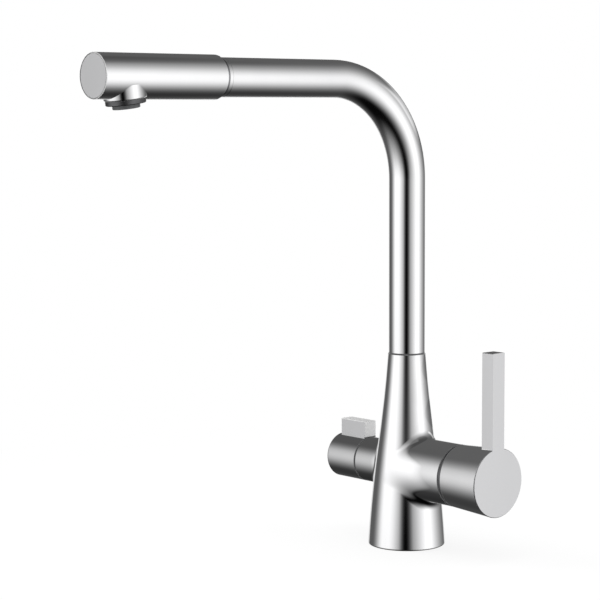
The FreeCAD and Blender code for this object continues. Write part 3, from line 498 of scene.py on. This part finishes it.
# Painted shade in the join where the lever meets its boss
def leverSeamShade(place):
    return place.part("X") < areas["leverRear"] + areas["seamShade"]


# The bar above the hub, and the hub's round face
def leverSatin(place):
    return (place.part("Z") > areas["barFoot"]).apply("MAXIMUM",
                                                      place.part("X") > areas["leverFace"])


def chromeFlows(place, gain=1.0):
    smear = place.noise(chrome["smearSize"], 4, 0.6, (1, 1, 0.35))
    dust = place.spots(chrome["dustSize"]) < chrome["dustReach"]
    gloss = smear.step(0.45, 0.75) * chrome["smear"] + dust * chrome["dust"] + chrome["gloss"]
    # A gain below 1 paints the whole piece darker as shade, one above 1 paints it lighter as light
    clean, worn = (tuple(level * gain for level in chrome[key]) for key in ("colour", "worn"))
    return smear.step(0.3, 0.8).blendColours(clean, worn), gloss


# Polished chrome, with whichever finishes the piece has beside it, and painted light: painted
# shade on undersides and in seams, a painted highlight on pale faces, and a gain that paints the
# whole piece darker or lighter
def polishedChrome(name, tube=None, satin=None, finish="satin", dull=None, pale=None, seamShade=None,
                   gain=1.0, under=None):
    made, shader, place = newMaterial(name)
    colour, gloss = chromeFlows(place, gain)
    normal = tubeNormal(place, tube) if tube else meshNormal(place)
    metal = 1.0
    # Painted shade under the piece
    if under:
        colour = facingDown(normal, under).colourOver(colour, chrome["shade"])
    # The satin mask gives real satin faces, and on the collar its ring of painted shade
    if satin:
        mask = satin(place)
        grain = place.noise(chrome["grainSize"], 2, 0.6) * chrome["grain"]
        colour = mask.colourOver(colour, chrome[finish])
        gloss = gloss + mask * (grain + chrome["satinGloss"])
    if dull:
        gloss = gloss + dull(place) * chrome["dull"]
    # Painted highlight: a pale colour with less metal, so the face shows white whatever it mirrors
    if pale:
        mask = pale(place)
        colour = mask.colourOver(colour, chrome["edge"])
        gloss = gloss + mask * chrome["edgeGloss"]
        metal = 1.0 - mask * chrome["edgePale"]
    # Painted shade in a join: dark and without metal
    if seamShade:
        mask = seamShade(place)
        colour = mask.colourOver(colour, chrome["seamShade"])
        gloss = gloss + mask * chrome["seamGloss"]
        metal = (1.0 - mask) * metal
    ripple = place.noise(chrome["rippleSize"], 2)
    joinTo(shader, colour=colour, rough=gloss, metal=metal,
           bump=relief(ripple, chrome["ripple"], chrome["rippleDepth"], normal))
    return made


# The casting is plated outside and bare machined brass in its socket and under its foot, with
# painted shade on its left boss, under its bosses and on the bosses' end faces
def platedCasting():
    made, shader, place = newMaterial("platedCasting")
    colour, gloss = chromeFlows(place)
    normal = castingNormal(place)
    x, z = place.part("X"), place.part("Z")
    # Painted shade: the left boss is darker where it stands out from the body
    around = radiusFrom(place, "X", (0, 0, casting["bossHeight"]))
    leftBossShade = (0.0 - x).step(*areas["leftBossShade"]) * (1.0 - around.step(*areas["leftRound"]))
    colour = leftBossShade.colourOver(colour, chrome["leftBossShade"])
    # Painted shade under the bosses
    colour = facingDown(normal, areas["bossUnder"]).colourOver(colour, chrome["shade"])
    middle = radiusFrom(place, "Z")
    bare = (middle < areas["socket"]) * (z < areas["socketTop"])
    bare = bare.apply("MAXIMUM", z < areas["underside"])
    rings = middle.node("ShaderNodeCombineXYZ", {0: middle, 1: z})
    rings = rings.noise(chrome["ringSize"], 2, 0.5)
    colour = bare.colourOver(colour, chrome["brass"])
    turnedGloss = rings * chrome["ringGloss"] + chrome["brassGloss"]
    gloss = gloss * (1.0 - bare) + bare * turnedGloss
    # Painted shade on the bosses' end faces, in the joins behind the knob and the lever
    ends = (x > casting["right"][2]).apply("MAXIMUM", x < -casting["left"][2])
    colour = ends.colourOver(colour, chrome["seamShade"])
    gloss = gloss + ends * chrome["seamGloss"]
    ripple = place.noise(chrome["rippleSize"], 2) * (1.0 - bare)
    ripple = ripple + rings * bare * chrome["ringRipple"]
    joinTo(shader, colour=colour, rough=gloss, metal=1.0 - ends,
           bump=relief(ripple, chrome["ripple"], chrome["rippleDepth"], normal))
    return made


def dressChrome():
    assign(platedCasting(), "main_body")
    assign(polishedChrome("spoutChrome", sweeps["spout"], dull=bendInside), "spout_tube")
    # The collar takes its ring of painted shade through the satin mask
    assign(polishedChrome("collarChrome", sweeps["spout"], collarGapShade, "gapShade"), "dock_collar")
    # The head's front rim takes a painted highlight
    assign(polishedChrome("headChrome", sweeps["head"], dull=bendInside, pale=headRimHighlight),
           "head_shell")
    assign(polishedChrome("satinCap", satin=capFace, finish="cap"), "head_end_cap")
    assign(polishedChrome("polishedChrome"), "nozzle_collar")
    # The knob is painted darker as shade, its tab takes a painted highlight and its join painted
    # shade
    assign(polishedChrome("knobChrome", satin=tabFront, pale=tabPaleHighlight, seamShade=knobSeamShade,
                          gain=chrome["knobShadeGain"]), "filter_knob")
    # The lever is painted lighter as light, with painted shade in its join and under its hub
    assign(polishedChrome("leverChrome", satin=leverSatin, seamShade=leverSeamShade,
                          gain=chrome["leverLightGain"], under=areas["hubUnder"]), "mixing_lever")


# The photographed chrome mirrors its studio and no neighbour, so no piece shows in a mirror
def clearMirrors():
    for node in nodes.values():
        node.visible_glossy = False


dressChrome()
clearMirrors()
print("chrome plated")

# Turned metal inside the tap: fine lathe rings across the axis and a dull film. First each metal's
# colour and roughness, then each material with its metal, the lathe's axis and its pieces
metals = {"turnedBrass": ((0.74, 0.55, 0.27), 0.23), "nickelBrass": ((0.66, 0.63, 0.55), 0.19),
          "stainless": ((0.62, 0.62, 0.61), 0.21), "darkSatin": ((0.16, 0.16, 0.165), 0.29),
          "ringSize": 3200, "ringLength": 0.02, "ringGloss": 0.1, "ringDepth": 0.00008,
          "filmSize": 140, "filmTone": 0.82, "filmGloss": 0.14}
turnedPieces = {"sleeveBrass": ("turnedBrass", "Z", "swivel_sleeve"),
                "hoseEndBrass": ("turnedBrass", "Y", "hose_connector"),
                "valveBrass": ("nickelBrass", "X", "cartridge_nut", "filter_headwork",
                               "filter_spindle"),
                "steelAcross": ("stainless", "X", "lever_stem"),
                "steelPin": ("stainless", "Y", "pivot_pin", "spout_set_screw"),
                "steelScrew": ("stainless", "Z", "lever_grub_screw", "knob_grub_screw"),
                # Painted shade: the lever's dome, in the gap behind the hub, takes the dark tone;
                # the aerator ring is dark of its own
                "shadowedDome": ("darkSatin", "X", "lever_dome"),
                "aeratorSatin": ("darkSatin", "Z", "aerator_ring")}


def turnedMetal(name, metal, axis):
    made, shader, place = newMaterial(name)
    colour, rough = metals[metal]
    stretch = tuple(1.0 if a == axis else metals["ringLength"] for a in "XYZ")
    rings = place.noise(metals["ringSize"], 2, 0.6, stretch)
    film = place.noise(metals["filmSize"], 4)
    dulled = tuple(level * metals["filmTone"] for level in colour)
    gloss = film.step(0.3, 0.75) * metals["filmGloss"] + rings * metals["ringGloss"] + rough
    joinTo(shader, colour=film.step(0.35, 0.7).blendColours(colour, dulled), rough=gloss,
           metal=1.0, bump=relief(rings, 0.12, metals["ringDepth"]))
    return made


for name, (metal, axis, *pieces) in turnedPieces.items():
    assign(turnedMetal(name, metal, axis), *pieces)
print("metal parts dressed")

# Moulded plastic: colour, roughness and grain size of each grade, and its piece
plastics = {"slipPlastic": ((0.10, 0.10, 0.105), 0.38, 900, "slip_ring"),
            "guidePlastic": ((0.78, 0.78, 0.75), 0.3, 1100, "hose_guide"),
            "nosePlastic": ((0.035, 0.035, 0.037), 0.24, 900, "docking_nose"),
            "waterwayPlastic": ((0.56, 0.57, 0.58), 0.28, 800, "head_waterway"),
            "cartridgePlastic": ((0.72, 0.72, 0.69), 0.26, 900, "cartridge_base"),
            "housingPlastic": ((0.12, 0.125, 0.13), 0.28, 900, "cartridge_housing"),
            "carrierPlastic": ((0.80, 0.79, 0.74), 0.24, 1000, "stem_carrier"),
            "plateBlack": ((0.03, 0.03, 0.032), 0.18, 900, "drive_plate"),
            "checkPlastic": ((0.05, 0.16, 0.34), 0.23, 1000, "check_valve"),
            "plugGrey": ((0.42, 0.43, 0.44), 0.22, 1200, "lever_plug"),
            "insertGrey": ((0.085, 0.087, 0.09), 0.38, 1500, "aerator_insert")}
moulding = {"cloudSize": 260, "cloudTone": 1.12, "cloudLift": 0.006, "cloudGloss": 0.08,
            "grainGloss": 0.16, "grainDepth": 0.00006, "index": 1.49}


def mouldedPlastic(name, colour, rough, grain):
    made, shader, place = newMaterial(name)
    cloud = place.noise(moulding["cloudSize"], 3)
    spark = place.noise(grain, 2, 0.7)
    pale = tuple(min(1.0, level * moulding["cloudTone"] + moulding["cloudLift"])
                 for level in colour)
    gloss = spark * moulding["grainGloss"] + cloud * moulding["cloudGloss"] + rough
    joinTo(shader, colour=cloud.step(0.3, 0.7).blendColours(colour, pale), rough=gloss,
           index=moulding["index"], bump=relief(spark, 0.12, moulding["grainDepth"]))
    return made


for name, (colour, rough, grain, piece) in plastics.items():
    assign(mouldedPlastic(name, colour, rough, grain), piece)
print("plastic parts dressed")

# Rubber seals and ground ceramic discs
rubber = {"colour": (0.022, 0.022, 0.023), "bloom": (0.06, 0.06, 0.058), "rough": 0.52,
          "bloomSize": 320, "bloomGloss": 0.2, "poreSize": 2400, "poreDepth": 0.00005}
ceramic = {"palePair": ((0.83, 0.82, 0.79), (0.76, 0.75, 0.72)),
           "darkPair": ((0.11, 0.11, 0.115), (0.17, 0.17, 0.175)), "rough": 0.12,
           "speckleSize": 1700, "lapSize": 900, "lapGloss": 0.16, "lapDepth": 0.00003,
           "index": 1.76}


def sealRubber():
    made, shader, place = newMaterial("sealRubber")
    bloom = place.noise(rubber["bloomSize"], 4, 0.65)
    pores = place.spots(rubber["poreSize"]).step(0.0, 0.35)
    joinTo(shader,
           colour=bloom.step(0.48, 0.78).blendColours(rubber["colour"], rubber["bloom"]),
           rough=bloom * rubber["bloomGloss"] + rubber["rough"],
           bump=relief(pores, 0.2, rubber["poreDepth"]))
    return made


def groundCeramic(name, pair):
    made, shader, place = newMaterial(name)
    speckle = place.noise(ceramic["speckleSize"], 2, 0.7)
    lap = place.noise(ceramic["lapSize"], 2, 0.6, (1, 1, 0.06))
    joinTo(shader, colour=speckle.step(0.42, 0.66).blendColours(*ceramic[pair]),
           rough=lap * ceramic["lapGloss"] + ceramic["rough"], index=ceramic["index"],
           bump=relief(lap, 0.06, ceramic["lapDepth"]))
    return made


assign(sealRubber(), "base_gasket", "swivel_seals", "cartridge_seals", "filter_seal",
       "connector_seal", "aerator_seal", "spindle_seal", "hose_run", "hose_front")
assign(groundCeramic("paleCeramic", "palePair"), "fixed_disc", "filter_fixed_disc")
assign(groundCeramic("darkCeramic", "darkPair"), "moving_disc", "filter_moving_disc")
print("seals and discs dressed")

# Braided hose: one tube from the foot round the bend into the head
hose = {"radius": 0.0055, "bore": 0.0034, "sides": 32, "foot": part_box("hose_run")[0][2],
        "bend": sweeps["bend"], "level": sweeps["level"], "end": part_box("hose_front")[0][1],
        "risePieces": 8, "bendPieces": 16, "levelPieces": 24,
        "strands": 10, "pitch": 0.0105, "wires": 5.0, "wireDepth": 0.15, "depth": 0.0003,
        "steel": (0.52, 0.52, 0.53), "nylon": (0.035, 0.036, 0.04), "steelShare": 0.8,
        "gloss": 0.3, "wireGloss": 0.1,
        "stayTo": -0.075, "pullFrom": -0.155}


# The braid counts round the hose by an attribute of its mesh, and along it by the distance from
# the tap's axis, so that it stays even when the hose is pulled out or the spout is turned
def hoseBraid():
    made, shader, place = newMaterial("hoseBraid")
    ring = place.node("ShaderNodeAttribute", {}, output=1, attribute_name="ring")
    z = place.part("Z")
    away = radiusFrom(place, "Z")
    out = (hose["bend"] - away).apply("MAXIMUM", 0.0)
    up = (z - knee).apply("MAXIMUM", 0.0)
    along = z.apply("MINIMUM", knee) + up.apply("ARCTAN2", out) * hose["bend"]
    along = along + (away - hose["bend"]).apply("MAXIMUM", 0.0)
    turns = ring.part("Y").apply("ARCTAN2", ring.part("X")) * (hose["strands"] / (2 * pi))
    climb = along * (hose["strands"] / 2 / hose["pitch"])
    ways = [(turns + climb).apply("FRACT"), (turns - climb).apply("FRACT")]
    crowns = [1.0 - ((way - 0.5).apply("ABSOLUTE") * 2.0) ** 2.0 for way in ways]
    over = ((turns * 2.0).apply("FLOOR") + (climb * 2.0).apply("FLOOR")).apply("MODULO", 2.0)
    over = over.apply("ABSOLUTE")
    height = crowns[0] * over + crowns[1] * (1.0 - over)
    wires = (height * hose["wires"]).apply("SINE").apply("ABSOLUTE")
    tone = height.step(0.12, 0.6)
    joinTo(shader, colour=tone.blendColours(hose["nylon"], hose["steel"]),
           rough=wires * hose["wireGloss"] + hose["gloss"], metal=tone * hose["steelShare"],
           bump=relief(height + wires * hose["wireDepth"], 0.5, hose["depth"]))
    return made


# Direction of each point from the hose's centre line: to the right, and outwards in the bend
def markRing(mesh):
    marks = mesh.attributes.new("ring", "FLOAT_VECTOR", "POINT")
    for point, mark in zip(mesh.vertices, marks.data):
        x, y, z = point.co
        reach = Vector((max(y + hose["bend"], 0), max(z - knee, 0))).length
        mark.vector = Vector((x, reach - hose["bend"], 0)).normalized()


def extrudeBy(pieces, way):
    for _ in range(pieces):
        bpy.ops.mesh.extrude_region_move(TRANSFORM_OT_translate={"value": way})


def buildHose():
    clearSelection()
    bpy.ops.mesh.primitive_circle_add(vertices=hose["sides"], radius=hose["radius"],
                                      location=(0, 0, hose["foot"]))
    tube = bpy.context.object
    tube.name = "braidedHose"
    bpy.ops.object.transform_apply(location=True, rotation=True, scale=True)
    bpy.ops.object.mode_set(mode="EDIT")
    bpy.ops.mesh.select_mode(type="VERT")
    bpy.ops.mesh.select_all(action="SELECT")
    extrudeBy(hose["risePieces"], (0, 0, (knee - hose["foot"]) / hose["risePieces"]))
    bpy.ops.mesh.spin(steps=hose["bendPieces"], angle=pi / 2, center=(0, -hose["bend"], knee),
                      axis=(-1, 0, 0))
    extrudeBy(hose["levelPieces"], (0, (hose["end"] + hose["bend"]) / hose["levelPieces"], 0))
    bpy.ops.mesh.select_all(action="SELECT")
    bpy.ops.mesh.remove_doubles(threshold=0.00001)
    bpy.ops.mesh.normals_make_consistent(inside=False)
    bpy.ops.object.mode_set(mode="OBJECT")
    wall = tube.modifiers.new("wall", "SOLIDIFY")
    wall.thickness = hose["radius"] - hose["bore"]
    wall.offset = -1
    bpy.ops.object.modifier_apply(modifier="wall")
    bpy.ops.object.shade_smooth_by_angle(angle=radians(50))
    markRing(tube.data)
    tube.data.materials.append(hoseBraid())
    tube.visible_glossy = False
    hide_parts("hose_run", "hose_front")
    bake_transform(tube)
    print("hose built:", len(tube.data.polygons), "faces")


# Bright lip pressed in round the head's end cap
lip = {"radius": 0.013325, "wire": 0.00006, "face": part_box("head_end_cap")[0][1], "sides": 128,
       "wireSides": 8}


def buildLip():
    clearSelection()
    bpy.ops.mesh.primitive_torus_add(major_radius=lip["radius"], minor_radius=lip["wire"],
                                     major_segments=lip["sides"],
                                     minor_segments=lip["wireSides"],
                                     location=(0, lip["face"] + lip["wire"], hose["level"]),
                                     rotation=(pi / 2, 0, 0))
    ring = bpy.context.object
    ring.name = "capLip"
    bpy.ops.object.transform_apply(location=True, rotation=True, scale=True)
    bpy.ops.object.shade_smooth()
    ring.data.materials.append(polishedChrome("lipChrome"))
    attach(ring, "sprayhead")


buildHose()
buildLip()
print("cap lip built")
